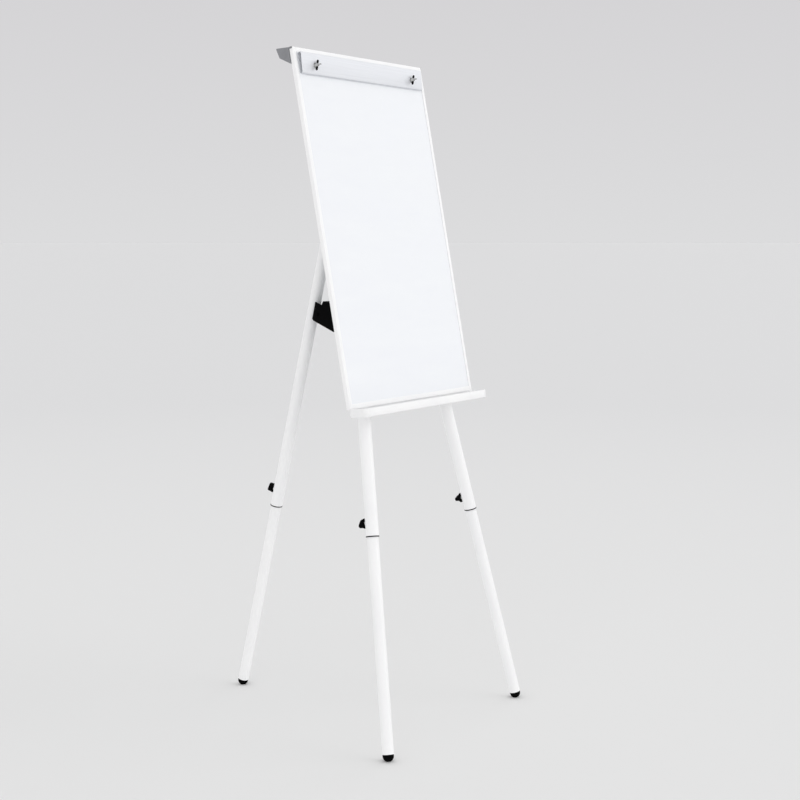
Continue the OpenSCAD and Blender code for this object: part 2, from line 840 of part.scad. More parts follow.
// The web closes the top of the channel, and a block fills it around the catch bar
module stay_web() {
    mirror([1, 0]) polygon([stay_top[2], stay_top[3], stay_top[4], stay_top[5],
        stay_top[5] - [0, cheek_t], stay_top[4] - [1.5, cheek_t], stay_top[3] - [1.5, cheek_t],
        stay_top[2] - [0, cheek_t]]);
}

module stay_block() {
    intersection() {
        stay_outline();
        translate([-stay_tip - 2 * tip_r, -2 * tip_r]) square([5 * tip_r, 4 * tip_r]);
    }
}

module stay_arm() {
    color("black") on_rear() translate([0, 0, -stay_down]) difference() {
        union() {
            for (s = [-1, 1]) translate([s * (cheek_x + cheek_t / 2), 0, 0]) x_extrude(cheek_t) stay_outline();
            x_extrude(2 * cheek_x + cheek_t) stay_web();
            x_extrude(2 * cheek_x + cheek_t) stay_block();
        }
        translate([0, -stay_pin_out, 0]) x_rod(pivot_r + run_gap, 4 * cheek_x);
        translate([0, -stay_tip, 0]) {
            x_rod(catch_r + free_gap, 4 * cheek_x);
            rotate([180 - slot_turn, 0, 0]) slab([-2 * cheek_x, 0, -catch_r - free_gap],
                [2 * cheek_x, 4 * tip_r, catch_r + free_gap]);
        }
    }
}

steel_face();
board_core();
back_sheet();
frame_left();
frame_right();
frame_top();
frame_bottom();
pen_tray();
tray_ends();
top_rail();
rail_ends();
board_screws();
clamp_studs();
hub_plate();
pivot_bolts();
pivot_washers();
rear_hinge_pin();
leg_guides();
stay_catch();
catch_bar();
clamp_bar();
clamp_washers();
wing_nut_left();
wing_nut_right();
left_upper_tube();
left_top_cap();
left_pivot_bush();
left_end_bush();
left_clamp_nut();
left_lower_tube();
left_guide_plug();
left_foot();
left_knob();
right_upper_tube();
right_top_cap();
right_pivot_bush();
right_end_bush();
right_clamp_nut();
right_lower_tube();
right_guide_plug();
right_foot();
right_knob();
rear_upper_tube();
rear_top_cap();
rear_pivot_bush();
rear_end_bush();
rear_clamp_nut();
rear_lower_tube();
rear_guide_plug();
rear_foot();
rear_knob();
stay_knuckle();
knuckle_rivets();
stay_pin();
stay_arm();
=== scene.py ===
# %% [markdown]
# # A flip chart easel with a magnetic whiteboard
# This lesson dresses a folding tripod easel. Its tubes, plates and pins come from a CAD model,
# already at their real sizes. We load that model first. Nothing that we add may make the easel
# bigger.

# %% Load the CAD model
import json
import math

import bmesh
import bpy
import numpy as np
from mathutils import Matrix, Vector


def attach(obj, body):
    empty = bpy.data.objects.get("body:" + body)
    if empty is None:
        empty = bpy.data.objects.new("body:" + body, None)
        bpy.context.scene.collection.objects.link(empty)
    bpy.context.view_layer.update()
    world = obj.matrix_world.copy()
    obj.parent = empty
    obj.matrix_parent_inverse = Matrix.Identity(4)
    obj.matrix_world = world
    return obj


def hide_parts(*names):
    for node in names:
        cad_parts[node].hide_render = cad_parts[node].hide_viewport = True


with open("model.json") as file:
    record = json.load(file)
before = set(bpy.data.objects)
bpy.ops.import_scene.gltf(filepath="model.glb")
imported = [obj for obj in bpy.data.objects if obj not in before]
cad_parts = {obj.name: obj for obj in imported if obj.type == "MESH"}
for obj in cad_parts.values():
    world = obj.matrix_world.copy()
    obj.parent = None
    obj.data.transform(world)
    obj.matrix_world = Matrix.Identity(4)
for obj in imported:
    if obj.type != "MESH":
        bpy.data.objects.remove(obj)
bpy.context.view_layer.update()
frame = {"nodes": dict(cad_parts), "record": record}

slot_of = {s["node"]: s["material_slot"] for s in frame["record"]["subparts"]}

# %% [markdown]
# ## Sizes
# A maker's drawing gives each size once, in millimetres, and so do we. The board leans back and
# each leg leans its own way, so every piece is drawn in the upright frame of what carries it.
# One small function for each frame then leans the finished points into place.

# %% The easel's sizes, in millimetres
MM = 0.001
# The board with the height of its lower edge, and how far it leans back
board_w, board_h, board_t, board_u = 680, 1050, 13, 990
tilt = math.radians(10.85)
# Radii of the tubes and the feet, and how much of a foot the floor has flattened
upper_r, lower_r, foot_r, foot_flat = 19, 17, 16.5, 1.5
# The front legs: their length, and half the spread of their feet and of their pivots
leg_len, foot_half, hub_half = 1975, 370, 75
# The rear leg: how far back its foot stands, and how far behind and below the others it turns
rear_reach, rear_n, rear_drop = 830, 8, 25
# Depths from the plane of the front legs, from the board's back to the front of the hub plate
back_n = -(upper_r + 5)
front_n = back_n - board_t
frame_t, plate_t = 1.5, 3
face_n = front_n + frame_t
sheet_n = back_n - frame_t
hub_front = sheet_n + plate_t
board_top = board_u + board_h
# Where the legs turn, and the angles at which they stand
hub_u = math.sqrt(leg_len ** 2 - (foot_half - hub_half) ** 2)
splay = math.asin((foot_half - hub_half) / leg_len)
rear_u = hub_u - rear_drop
hub_y = rear_n * math.cos(tilt) + rear_u * math.sin(tilt)
hub_z = rear_u * math.cos(tilt) - rear_n * math.sin(tilt)
rear_len = math.hypot(rear_reach - hub_y, hub_z) + rear_drop
rear_open = math.atan((rear_reach - hub_y) / hub_z) + tilt
print(f"leg pivots are {hub_u:.1f} mm up the board")
print(f"rear leg opens by {math.degrees(rear_open):.1f} degrees")

# %% Frames of the board and the legs
def turned(a, b, angle):
    """Turns the pair (a, b) by an angle: (a cos - b sin, a sin + b cos)."""
    return a * math.cos(angle) - b * math.sin(angle), a * math.sin(angle) + b * math.cos(angle)


def on_board(p):
    """Board frame (x, depth n, height u) to metres: the tilt turns n and u into Y and Z."""
    x, n, u = np.moveaxis(np.asarray(p, float), -1, 0)
    y, z = turned(n, u, -tilt)
    return np.stack([x, y - rear_reach / 2, z + foot_r - foot_flat], -1) * MM


def on_front_leg(side):
    """Frame of a front leg, with -Z down the leg: the splay turns it in the plane of the board."""
    def place(p):
        x, y, z = np.moveaxis(np.asarray(p, float), -1, 0)
        x, z = turned(x, z, side * splay)
        return on_board(np.stack([x + side * hub_half, y, z + hub_u], -1))
    return place


def on_rear_leg(p):
    """Frame of the rear leg, with -Z down the leg: it opens backwards about its pivot, which
    lies rear_drop below the origin of this frame."""
    x, y, z = np.moveaxis(np.asarray(p, float), -1, 0)
    y, z = turned(y, z + rear_drop, rear_open)
    return on_board(np.stack([x, y + rear_n, z + rear_u], -1))


legs = {"left": on_front_leg(-1), "right": on_front_leg(1), "rear": on_rear_leg}
print("left foot at", np.round(legs["left"]([0, 0, -leg_len]), 4))

# %% [markdown]
# ## From formulas to meshes
# Everything here is a tube, a bent sheet, a stamped plate or a moulding. Each is a closed outline
# carried along a line, so one mesh helper is enough: it takes grids of points whose rows close on
# themselves, joins neighbouring rows with four-sided faces and puts a lid on the first and last.
# Drawing with modifiers would also work, but arrays keep every radius exact.

# %% Grids of points into an object
def grid_faces(rows, count, start):
    """Four-sided faces between neighbouring rows of a grid whose rows close on themselves."""
    i = np.arange(rows - 1)[:, None] * count + start
    j = np.arange(count)[None, :]
    k = (j + 1) % count
    return np.stack([i + j, i + k, i + count + k, i + count + j], -1).reshape(-1, 4).tolist()


def build(name, grids, place, material, body, *nodes):
    """One object from several closed grids (rows, points, 3): placed, given normals that point
    outwards, shaded smooth up to 35 degrees, painted, and hung on its CAD body."""
    verts, faces, start = [], [], 0
    for g in grids:
        rows, count = g.shape[:2]
        faces += grid_faces(rows, count, start)
        for row, first in ((g[0], start), (g[-1], start + (rows - 1) * count)):
            if np.ptp(row, axis=0).max() > 1e-4:
                faces.append(list(range(first, first + count)))
        verts.append(place(g.reshape(-1, 3)))
        start += rows * count
    mesh = bpy.data.meshes.new(name)
    mesh.from_pydata(np.concatenate(verts).tolist(), [], faces)
    bm = bmesh.new()
    bm.from_mesh(mesh)
    bmesh.ops.remove_doubles(bm, verts=bm.verts, dist=1e-6)
    bmesh.ops.recalc_face_normals(bm, faces=bm.faces)
    bm.to_mesh(mesh)
    bm.free()
    mesh.shade_smooth()
    mesh.set_sharp_from_angle(angle=math.radians(35))
    mesh.materials.append(material)
    obj = bpy.data.objects.new(name, mesh)
    bpy.context.scene.collection.objects.link(obj)
    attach(obj, body)
    if nodes:
        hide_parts(*nodes)
    print(f"{name}: {len(mesh.polygons)} faces on {body}")
    return obj

# %% Outlines with rounded corners
def rounded(points, radii, closed=True, steps=5):
    """An outline whose corners are arcs. The arc of radius r starts r / tan(h) before its corner,
    where h is half the corner's angle, and its centre is r / sin(h) away."""
    p = np.asarray(points, float)
    r = np.broadcast_to(np.asarray(radii, float), len(p))
    out = []
    for i, corner in enumerate(p):
        if r[i] <= 0 or (not closed and i in (0, len(p) - 1)):
            out.append(corner[None])
            continue
        a, b = p[i - 1] - corner, p[(i + 1) % len(p)] - corner
        a, b = a / np.linalg.norm(a), b / np.linalg.norm(b)
        h = math.acos(np.clip(a @ b, -1, 1)) / 2
        centre = corner + (a + b) / np.linalg.norm(a + b) * r[i] / math.sin(h)
        u, v = corner + a * r[i] / math.tan(h) - centre, corner + b * r[i] / math.tan(h) - centre
        w = math.pi - 2 * h
        t = np.linspace(0, 1, steps)[:, None]
        out.append(centre + (np.sin((1 - t) * w) * u + np.sin(t * w) * v) / math.sin(w))
    return np.concatenate(out)


def outward(outline):
    """Unit normals of a closed outline: its tangents turned a quarter, away from its inside."""
    d = np.roll(outline, -1, 0) - np.roll(outline, 1, 0)
    n = np.stack([d[:, 1], -d[:, 0]], -1) / np.maximum(np.linalg.norm(d, axis=1), 1e-9)[:, None]
    x, y = outline.T
    area = np.sum(x * np.roll(y, -1) - y * np.roll(x, -1))
    return n if area > 0 else -n


def beside(path):
    """Unit normals of an open path: its tangents turned a quarter."""
    d = np.gradient(path, axis=0)
    return np.stack([d[:, 1], -d[:, 0]], -1) / np.linalg.norm(d, axis=1)[:, None]


def arc(x, y, radius, start, end, count):
    """Points on an arc about (x, y): (x + r cos a, y + r sin a)."""
    a = np.linspace(start, end, count)
    return np.stack([x + radius * np.cos(a), y + radius * np.sin(a)], -1)


def sheet(path, thickness):
    """Section of a bent sheet: a path moved half the thickness to each side, with round ends."""
    n = beside(path) * thickness / 2
    turn = np.linspace(0, math.pi, 6)[1:-1, None]
    far = path[-1] + n[-1] * np.cos(turn) + np.stack([-n[-1, 1], n[-1, 0]]) * np.sin(turn)
    near = path[0] - n[0] * np.cos(turn) - np.stack([-n[0, 1], n[0, 0]]) * np.sin(turn)
    return np.concatenate([path + n, far, (path - n)[::-1], near])

# %% Outlines into solids
def prism(outline, low, high, edge=0.0, axes=(1, 2, 0)):
    """A plate: the outline carried from low to high, drawn in by a quarter circle of radius edge
    at both ends. axes says where the outline's two directions and the thickness go."""
    t = np.linspace(0, math.pi / 2, 4) if edge else np.array([math.pi / 2])
    inset, step = edge * (1 - np.sin(t)), edge * (1 - np.cos(t))
    inset = np.concatenate([inset, inset[::-1]])
    height = np.concatenate([low + step, (high - step)[::-1]])
    flat = outline[None] - outward(outline)[None] * inset[:, None, None]
    g = np.empty(flat.shape[:2] + (3,))
    g[..., axes[0]], g[..., axes[1]] = flat[..., 0], flat[..., 1]
    g[..., axes[2]] = height[:, None]
    return g


def pair(outline, inner, outer, edge=0.0):
    """The same plate left and right of the middle, from inner to outer away from it."""
    return [prism(outline, *sorted((s * inner, s * outer)), edge) for s in (-1, 1)]


def revolve(profile, count=48, axis=1):
    """Turns a profile of (radius, distance) about an axis: (r cos a, r sin a) across it."""
    r, d = np.asarray(profile, float).T
    a = np.linspace(0, 2 * math.pi, count, endpoint=False)
    g = np.empty((len(r), count, 3))
    g[..., axis] = d[:, None]
    g[..., (axis + 1) % 3] = r[:, None] * np.cos(a)
    g[..., (axis + 2) % 3] = r[:, None] * np.sin(a)
    return g


def shift(grid, x=0, y=0, z=0):
    """Moves a grid."""
    return grid + np.array([x, y, z], float)

# %% [markdown]
# ## Colours and a first finish
# Paint charts give colours as sRGB hex values, but the shader works with linear light, so one
# function turns the first into the second. Another adds a node with its settings and its links.
# Values that are the same all over a surface sit on the shader itself.

# %% Colour, node and material helpers
def linear(hex_colour):
    """sRGB to linear: c / 12.92 below 0.04045, and ((c + 0.055) / 1.055) to the 2.4 above it."""
    c = np.array([int(hex_colour[i:i + 2], 16) for i in (1, 3, 5)]) / 255
    return (*np.where(c <= 0.04045, c / 12.92, ((c + 0.055) / 1.055) ** 2.4).tolist(), 1.0)


def add(tree, kind, inputs=None, **settings):
    """Adds a node. settings are its own properties, inputs are values or sockets that feed it."""
    made = tree.nodes.new(kind)
    for key, value in settings.items():
        setattr(made, key, value)
    for key, value in (inputs or {}).items():
        if isinstance(value, bpy.types.NodeSocket):
            tree.links.new(value, made.inputs[key])
        else:
            made.inputs[key].default_value = value
    return made


def finish(name, colour, roughness, metallic=0.0, **sockets):
    """A material with one Principled shader, and the place on the surface in metres."""
    material = bpy.data.materials.new(name)
    material.use_nodes = True
    tree = material.node_tree
    shader = tree.nodes["Principled BSDF"]
    values = {"Base Color": linear(colour), "Roughness": roughness, "Metallic": metallic}
    for key, value in {**values, **sockets}.items():
        shader.inputs[key].default_value = value
    place = add(tree, "ShaderNodeTexCoord").outputs["Object"]
    return material, tree, shader, place


def patches(tree, place, size_mm, stretch=(1, 1, 1), detail=3.0):
    """Noise between 0 and 1 whose patches are size_mm wide, drawn out by the stretch."""
    scale = tuple(1 / s for s in stretch)
    scaled = add(tree, "ShaderNodeMapping", {"Vector": place, "Scale": scale})
    return add(tree, "ShaderNodeTexNoise", {"Vector": scaled.outputs["Vector"],
        "Scale": 1000 / size_mm, "Detail": detail, "Roughness": 0.55}).outputs["Fac"]


def between(tree, factor, low, high):
    """Stretches the middle half of a noise over the values from low to high."""
    return add(tree, "ShaderNodeMapRange", {"Value": factor, "From Min": 0.3, "From Max": 0.7,
        "To Min": low, "To Max": high}).outputs["Result"]


def blend_colours(tree, factor, first, second):
    """Mixes two hex colours by a factor from 0 to 1."""
    mix = add(tree, "ShaderNodeMix", data_type="RGBA")
    tree.links.new(factor, mix.inputs["Factor"])
    mix.inputs["A"].default_value, mix.inputs["B"].default_value = linear(first), linear(second)
    return mix.outputs["Result"]


def relief(tree, shader, height, depth_mm):
    """Turns a height from 0 to 1 into bumps of that depth."""
    bump = add(tree, "ShaderNodeBump",
        {"Height": height, "Strength": 1.0, "Distance": depth_mm * MM})
    tree.links.new(bump.outputs["Normal"], shader.inputs["Normal"])

# %% [markdown]
# ## White powder coat
# The tubes, the frame and the plates are steel sprayed with polyester powder and baked. The melt
# leaves a fine orange peel about a millimetre across. At this distance that would vanish, so it is
# drawn 3 mm wide. A broad, very faint drift in tone stands for uneven spraying and handling.

# %% White powder coat
def powder_coat(name, colour, drift, peel_mm=3.0, roughness=0.36, depth_mm=0.05, gloss=0.5):
    """Baked powder: satin, with orange peel and a slow drift between two near tones."""
    material, tree, shader, place = finish(name, colour, roughness,
        **{"Specular IOR Level": gloss})
    broad = between(tree, patches(tree, place, 130), 0, 1)
    tree.links.new(blend_colours(tree, broad, colour, drift), shader.inputs["Base Color"])
    tree.links.new(between(tree, patches(tree, place, 45), roughness - 0.05, roughness + 0.07),
        shader.inputs["Roughness"])
    relief(tree, shader, patches(tree, place, peel_mm, detail=1.0), depth_mm)
    return material


white_coat = powder_coat("white_polyester_powder_coat_on_steel", "#FBFBFB", "#F7F7F8")
print("white coat is", [round(c, 3) for c in linear("#FBFBFB")[:3]])

# %% [markdown]
# ## Enamelled writing surface
# The writing sheet is steel under a fired, glossy white enamel, so it takes magnets and wipes
# clean. It reads slightly bluer than the frame. Wiping leaves long soft smears that show only in
# the gloss, so they change the roughness and hardly touch the colour.

# %% White vitreous enamel
enamel, tree, shader, place = finish("white_vitreous_enamel_on_steel", "#F7F9FC", 0.16,
    **{"Coat Weight": 0.3, "Coat Roughness": 0.08})
smear_mm, smear_stretch = 90, (3.0, 1.0, 0.8)
wiped = patches(tree, place, smear_mm, stretch=smear_stretch)
tree.links.new(between(tree, wiped, 0.12, 0.24), shader.inputs["Roughness"])
tree.links.new(blend_colours(tree, between(tree, wiped, 0, 1), "#F8FAFD", "#F5F7FB"),
    shader.inputs["Base Color"])
relief(tree, shader, patches(tree, place, 14, detail=1.0), 0.03)
print("enamel smears are", smear_mm * smear_stretch[0], "mm long")

# %% [markdown]
# ## Anodised aluminium
# The clamp bar is an aluminium profile, drawn lengthwise through a brush and then anodised. Each
# brush line is a few hundredths of a millimetre wide and as long as the bar, so noise is stretched
# far along X and squeezed across it, to lines about 1 mm wide that can just be seen.

# %% Satin anodised aluminium
anodised, tree, shader, place = finish("satin_anodised_aluminium", "#E6E8EC", 0.45, 0.4)
line_mm, line_stretch = 1.2, 180
lines = patches(tree, place, line_mm, stretch=(line_stretch, 1, 1), detail=2.0)
tree.links.new(blend_colours(tree, between(tree, lines, 0, 1), "#E1E3E7", "#EAECF0"),
    shader.inputs["Base Color"])
tree.links.new(between(tree, lines, 0.4, 0.5), shader.inputs["Roughness"])
relief(tree, shader, lines, 0.02)
print("brush lines run", line_mm * line_stretch, "mm along the bar")

# %% [markdown]
# ## Zinc, nickel and bare metal
# Screws, bolts and pins are zinc-plated steel: grey, a little cloudy, half dull. The studs and the
# washers of the pad clamp are nickel plated and brighter. The back of the board is a galvanised
# sheet, whose zinc froze in crystals about 9 mm across, and Voronoi cells look just like them.

# %% Plated steels
def plated(name, colour, cloud, roughness, cloud_mm):
    """Plated steel: a mirror blurred by roughness, with cloudy patches in tone and gloss."""
    material, tree, shader, place = finish(name, colour, roughness, 1.0)
    clouds = patches(tree, place, cloud_mm)
    tree.links.new(blend_colours(tree, between(tree, clouds, 0, 1), colour, cloud),
        shader.inputs["Base Color"])
    tree.links.new(between(tree, clouds, roughness * 0.8, roughness * 1.3),
        shader.inputs["Roughness"])
    return material


zinc = plated("bright_zinc_plated_steel", "#B9BDC1", "#A4A8AD", 0.34, 4)
nickel = plated("bright_nickel_plated_steel", "#CFCFCE", "#C2C2C0", 0.15, 6)

# %% Galvanised back sheet
galvanised, tree, shader, place = finish("hot_dip_galvanised_sheet", "#B4B8BB", 0.42, 0.9)
crystal_mm = 9
crystals = add(tree, "ShaderNodeTexVoronoi", {"Vector": place, "Scale": 1000 / crystal_mm,
    "Randomness": 1.0}).outputs["Color"]
tone = add(tree, "ShaderNodeSeparateColor", {"Color": crystals}).outputs["Red"]
tree.links.new(blend_colours(tree, tone, "#A9AEB2", "#C2C6C9"), shader.inputs["Base Color"])
tree.links.new(between(tree, tone, 0.34, 0.5), shader.inputs["Roughness"])
print("zinc crystals are", crystal_mm, "mm across")

# %% [markdown]
# ## Mouldings and rubber
# Knobs, sleeves and the stay's knuckle are black nylon from a spark-eroded mould, whose grain of
# about 0.3 mm is drawn 1 mm wide. The feet are black rubber, which is duller and faintly dusty.
# White and grey caps are ABS with the same grain, softer, because ABS takes a finer skin.

# %% Moulded plastics
def moulded(name, colour, worn, roughness, grain_mm, depth_mm, gloss=0.5):
    """Moulded plastic: an even colour, a fine grain in the skin and faint handling marks."""
    material, tree, shader, place = finish(name, colour, roughness,
        **{"Specular IOR Level": gloss})
    marks = between(tree, patches(tree, place, 22), 0, 1)
    tree.links.new(blend_colours(tree, marks, colour, worn), shader.inputs["Base Color"])
    tree.links.new(between(tree, patches(tree, place, 9), roughness - 0.06, roughness + 0.08),
        shader.inputs["Roughness"])
    relief(tree, shader, patches(tree, place, grain_mm, detail=1.0), depth_mm)
    return material


black_nylon = moulded("black_glass_filled_nylon", "#040405", "#070708", 0.6, 1.0, 0.05,
    gloss=0.04)
rubber = moulded("black_natural_rubber", "#050505", "#090909", 0.8, 1.6, 0.08, gloss=0.04)
white_abs = moulded("white_moulded_abs", "#F8F8F8", "#F3F3F4", 0.4, 1.4, 0.03)
grey_abs = moulded("grey_moulded_abs", "#8F9094", "#86878B", 0.5, 1.4, 0.04)
print("four mouldings")

# %% Dark and grey coats, and the core
black_coat = powder_coat("black_epoxy_powder_coat_on_steel", "#040405", "#070708",
    peel_mm=2.0, roughness=0.6, depth_mm=0.06, gloss=0.04)
grey_coat = powder_coat("grey_polyester_powder_coat_on_steel", "#97989C", "#909195",
    peel_mm=2.5, roughness=0.42)
fibreboard, tree, shader, place = finish("raw_hardboard_core", "#A8845C", 0.85)
fibres = patches(tree, place, 5, stretch=(4, 1, 1), detail=6.0)
tree.links.new(blend_colours(tree, between(tree, fibres, 0, 1), "#B08C63", "#8E6C48"),
    shader.inputs["Base Color"])
relief(tree, shader, fibres, 0.1)

# %% [markdown]
# ## The board's frame
# The frame is rolled from thin steel sheet into a channel that grips the board, cut at 45 degrees
# and joined at the corners. Its outer edges are soft rolled bends. The section is carried along
# each side, and every point stops as far short of the corner as it lies inside the outer edge,
# which gives the mitre by itself.

# %% Mitred frame bars
def frame_bar(length):
    """Channel section (inside distance a, depth b) carried along a side. A point at a stops at
    half the length minus a, at both ends, so the ends form a 45 degree mitre."""
    lip, web, back = 15, 3, board_t - frame_t
    section = rounded([(0, 0), (lip, 0), (lip, frame_t), (web, frame_t), (web, back), (lip, back),
        (lip, board_t), (0, board_t)], [3.0, 0.7, 0.7, 0, 0, 0.7, 0.7, 3.0])
    half = length / 2 - section[:, 0]
    return np.stack([np.stack([s * half, *section.T], -1) for s in (-1, 1)])


def frame_side(grid, side):
    """Turns a bar to its side of the board: along x for top and bottom, along u for the others."""
    s, a, b = np.moveaxis(grid, -1, 0)
    middle = board_u + board_h / 2
    across = {"bottom": (s, board_u + a), "top": (s, board_top - a),
        "left": (-board_w / 2 + a, middle + s), "right": (board_w / 2 - a, middle + s)}[side]
    return np.stack([across[0], front_n + b, across[1]], -1)


side_lengths = {"bottom": board_w, "top": board_w, "left": board_h, "right": board_h}
for side, length in side_lengths.items():
    build("frame_bar_" + side, [frame_side(frame_bar(length), side)], on_board, white_coat,
        "board", "frame_" + side)

# %% [markdown]
# ## The pen tray
# The tray is one strip of sheet metal, bent up into a lip at the front, and at the back up behind
# the board, where screws hold it. Its floor rises to the front so pens roll against the board. Two
# plastic caps with rounded corners close its ends.

# %% Tray strip
tray_depth, tray_drop, tray_lip_h, tray_wall, cap_len = 56, 23, 25, 2, 20
tray_turn = tilt - math.radians(4.5)
tray_back = board_t * math.cos(tray_turn) + tray_wall


def on_tray(p):
    """Tray frame to the board: turned about the board's lower front edge."""
    x, y, z = np.moveaxis(np.asarray(p, float), -1, 0)
    y, z = turned(y, z, tray_turn)
    return on_board(np.stack([x, y + front_n, z + board_u], -1))


mid = tray_wall / 2
flange = [turned(board_t + mid, v, -tray_turn) for v in (-2.5, 17)]
bends = [(-tray_depth + mid, tray_lip_h - tray_drop - mid), (-tray_depth + mid, -tray_drop + mid),
    (tray_back - mid, -tray_drop + mid), *flange]
tray_path = rounded(bends, [0, 3.0, 3.0, 6.0, 0], closed=False)
half = board_w / 2 - cap_len
build("tray_strip", [prism(sheet(tray_path, tray_wall), -half, half)], on_tray, white_coat,
    "board", "pen_tray")

# %% Tray end caps
def tray_cap(side):
    """A wall carried round three sides of the cap, up to the face of the board, and a floor plate
    with the same outline."""
    x0, x1, w, back = board_w / 2 - cap_len, board_w / 2, tray_wall, -0.4
    corners = [(x0, -tray_depth + w / 2), (x1 - w / 2, -tray_depth + w / 2),
        (x1 - w / 2, back - w / 2), (x0, back - w / 2)]
    path = rounded(corners, [0, 14, 1.5, 0], closed=False, steps=9)
    n = beside(path)
    low, high = -tray_drop + 0.3, tray_lip_h - tray_drop
    ring = rounded([(-1, 0), (1, 0), (1, 1), (-1, 1)], [0.6, 0.6, 0.35, 0.35], steps=4)
    g = np.empty((len(path), len(ring), 3))
    g[..., :2] = path[:, None] + n[:, None] * ring[None, :, :1] * w / 2
    g[..., 2] = low + (high - low) * ring[None, :, 1]
    plan = rounded([(x0, -tray_depth), (x1, -tray_depth), (x1, back), (x0, back)],
        [0.3, 15, 2, 0.3], steps=9)
    floor = prism(plan, -tray_drop, -tray_drop + w, 0.6, (0, 1, 2))
    return [grid * [side, 1, 1] for grid in (g, floor)]


build("tray_caps", tray_cap(-1) + tray_cap(1), on_tray, white_abs, "board", "tray_ends")

# %% [markdown]
# ## The pad clamp
# A bar of sheet aluminium hangs on two studs and leans out at its top. It is folded back to the
# frame above and to the writing sheet below, and the lower fold presses the paper to the board.
# Wing nuts push it home. The bar's ends are left open, which shows as a dark wedge.

# %% Clamp bar
clamp_top, clamp_h, clamp_t, clamp_half = board_top - 15, 62, 1.8, 318
stud_x, stud_up = 255, 26
clamp_base = clamp_top - clamp_h
out_n, top_n = face_n - 8.5, front_n - 12
lean = math.atan((out_n - top_n) / clamp_h)
stud_u = clamp_base + stud_up
mid, hem = clamp_t / 2, 1.3
clamp_path = rounded([(face_n - hem, clamp_base + mid), (out_n + mid, clamp_base + mid),
    (top_n + mid, clamp_top - mid), (front_n - hem, clamp_top - mid)], [0, 1.6, 2.2, 0],
    closed=False)
build("clamp_strip", [prism(sheet(clamp_path, clamp_t), -clamp_half, clamp_half)], on_board,
    anodised, "clamp", "clamp_bar")

# %% Wing nuts
washer_r, washer_t = 8, 1.5
nut_n = out_n - (stud_up + washer_r) * math.tan(lean) - washer_t
wing_t, wing_w, wing_h, wing_out, wing_off = 1.5, 4, 6.7, 5.5, 11


def wing(side):
    """A flat oval wing: the half axes wing_w and wing_h times a steep power of the cosine of
    latitude, and wing_t to each side, so that the edge is a small even round."""
    a = np.linspace(-math.pi / 2, math.pi / 2, 17)[:, None]
    b = np.linspace(0, 2 * math.pi, 40, endpoint=False)[None, :]
    rim = np.cos(a) ** 0.35
    thick = wing_t * np.sign(np.sin(a)) * np.abs(np.sin(a)) ** 0.8
    return np.stack([thick + 0 * b, -wing_out + wing_w * rim * np.cos(b),
        side * wing_off + wing_h * rim * np.sin(b)], -1)


nut_hub = revolve([(3.1, 0), (5.6, 0), (6.1, -0.5), (6.0, -3), (5.2, -7.5), (4.7, -9.4),
    (4.2, -9.8), (3.1, -9.8), (3.1, 0)], 40)
for side, name, angle in ((-1, "left", 24), (1, "right", 27)):
    wings = []
    for g in (wing(1), wing(-1)):
        z, x = turned(g[..., 2], g[..., 0], math.radians(angle))
        wings.append(shift(np.stack([x, g[..., 1], z], -1), side * stud_x, nut_n, stud_u))
    build("wing_nut_moulding_" + name, wings, on_board, black_nylon, "wing_" + name,
        "wing_nut_" + name)
    insert = build("wing_nut_insert_" + name, [shift(nut_hub, side * stud_x, nut_n, stud_u)],
        on_board, nickel, "wing_" + name)

# %% [markdown]
# ## Rail behind the top edge
# A box rail of folded sheet stiffens the board's top and gives a grip for carrying. Its corners
# are folded round a small radius. Two moulded caps close its ends, and a tab on each one covers
# the upper corner of the board.

# %% Top rail and its caps
rail_top, rail_h, rail_depth, rail_lip, rail_half = board_top - 2, 46, 45, 31, 337
lip_turn = math.radians(15)
corner = (back_n + rail_depth * math.cos(tilt), rail_top + rail_depth * math.sin(tilt))
fold = (corner[0] - rail_lip * math.sin(lip_turn), corner[1] - rail_lip * math.cos(lip_turn))
rail_points = [(back_n, rail_top - rail_h), (back_n, rail_top), corner, fold]
rail_outline = rounded(rail_points, [0.6, 0.6, 2.5, 2.5])
build("rail_fold", [prism(rail_outline, -rail_half, rail_half)], on_board, grey_coat,
    "board", "top_rail")
cap_x, cap_wall, tab_n, tab_u = rail_half + 3, 2, front_n + 1, board_top - 5
tab = [(back_n, tab_u), (tab_n, tab_u), (tab_n, board_top), (back_n, board_top)]
cap_outline = rounded([rail_points[0], *tab, corner, fold], [1, 0.6, 1, 1, 3, 2.5, 2.5])
caps = pair(rail_outline, rail_half, cap_x) + pair(cap_outline, cap_x, cap_x + cap_wall, 0.5)
build("rail_caps", caps, on_board, grey_abs, "board", "rail_ends")

# %% [markdown]
# ## Plates on the back
# The hub plate, the guides and the catch plate are stamped steel with rounded corners. Ears stand
# up from them for the pins. A plate is its outline given a thickness, with edges just broken,
# because powder coat never keeps a sharp edge.

# %% Hub plate and catch plate
def corner_plate(cx, cu, w, h, radius):
    """A rectangle with rounded corners, lying on the back of the board."""
    box = [(cx - w / 2, cu - h / 2), (cx + w / 2, cu - h / 2), (cx + w / 2, cu + h / 2),
        (cx - w / 2, cu + h / 2)]
    return prism(rounded(box, radius), sheet_n, hub_front, 0.5, (0, 2, 1))


def ears(x, tip_n, u, radius):
    """Two ears: straight sides from the plate to a half circle about the pin at tip_n."""
    end = arc(tip_n, u, radius, -math.pi / 2, math.pi / 2, 17)
    outline = np.concatenate([[(hub_front - 1, u - radius)], end, [(hub_front - 1, u + radius)]])
    return pair(outline, x - ear_half, x + ear_half, 0.4)


ear_half = 1.75
hub = [corner_plate(0, hub_u - 15, 210, 90, 9),
    *ears(upper_r + 0.9 + ear_half, rear_n, rear_u, 14)]
build("hub_stamping", hub, on_board, white_coat, "board", "hub_plate")
